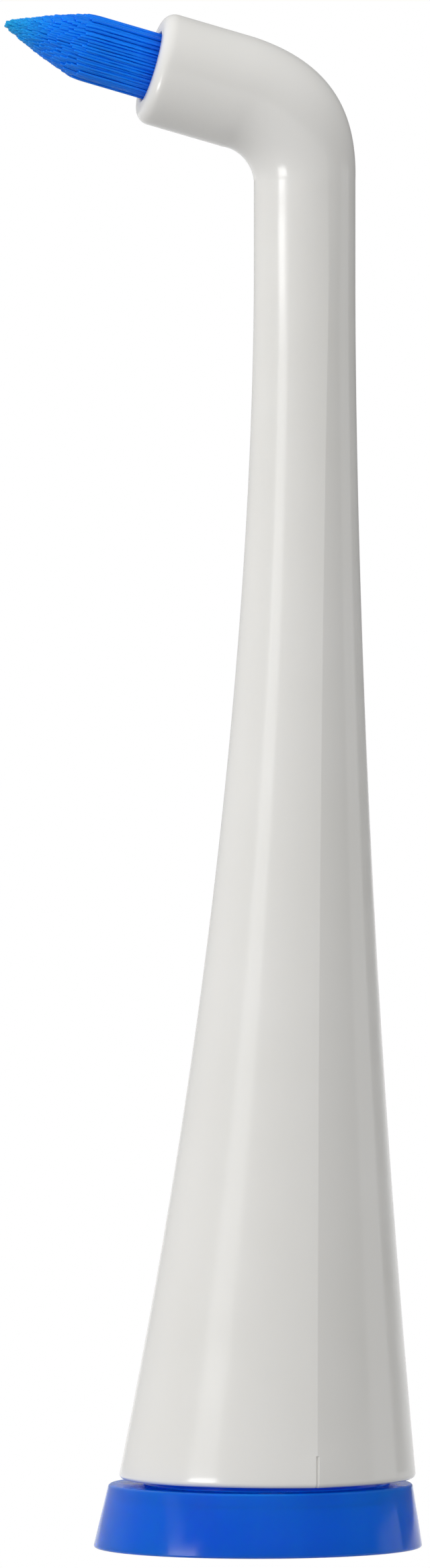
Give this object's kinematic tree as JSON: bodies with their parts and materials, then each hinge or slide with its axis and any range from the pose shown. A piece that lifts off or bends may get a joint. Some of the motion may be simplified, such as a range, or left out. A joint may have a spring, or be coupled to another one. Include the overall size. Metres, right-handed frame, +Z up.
{
  "type": "interdental brush head",
  "caption": "Push-on interdental brush head for a sonic or water-flosser handle: flared hollow shell, bent neck, pointed bristle tuft and a plug-in colour ring.",
  "frame": {"origin": "on the underside of the colour ring, at the centre of the footprint of the whole head", "axes": "+Z up along the neck, away from the handle; -X towards the tip of the tuft; +Y across"},
  "size_m": [0.0231, 0.017, 0.0846],
  "materials": {
    "shell": "glossy off-white moulded plastic",
    "ring": "glossy translucent blue plastic",
    "socket": "satin natural acetal",
    "clip": "drawn spring wire",
    "bristle": "blue nylon filaments",
    "anchor": "sheared brass strip"
  },
  "bodies": {
    "head": {"outer_shell": "shell", "shaft_socket": "socket", "socket_spider": "socket", "clip_bow": "clip", "tuft_root": "bristle", "tuft_anchor": "anchor"},
    "ring": {"colour_ring": "ring"},
    "tuft": {"bristle_tuft": "bristle"},
    "clip_right": {"clip_arm_right": "clip"},
    "clip_left": {"clip_arm_left": "clip"}
  },
  "joints": [
    {"name": "ring_pull_off", "type": "slide", "parent": "head", "child": "ring", "axis": [0, 0, -1], "range_m": [0, 0.008]},
    {"name": "tuft_bend", "type": "hinge", "parent": "head", "child": "tuft", "pos_m": [-0.00496, 0, 0.08213], "axis": [0, 1, 0], "range_deg": [-20, 20], "stiffness_Nm_per_rad": 0.016},
    {"name": "clip_right_spread", "type": "hinge", "parent": "head", "child": "clip_right", "pos_m": [0.00606, 0.00207, 0.0172], "axis": [0, 0, 1], "range_deg": [0, 11], "stiffness_Nm_per_rad": 0.2},
    {"name": "clip_left_spread", "type": "hinge", "parent": "head", "child": "clip_left", "pos_m": [0.00272, 0.00207, 0.0172], "axis": [0, 0, -1], "range_deg": [0, 11], "stiffness_Nm_per_rad": 0.2}
  ]
}
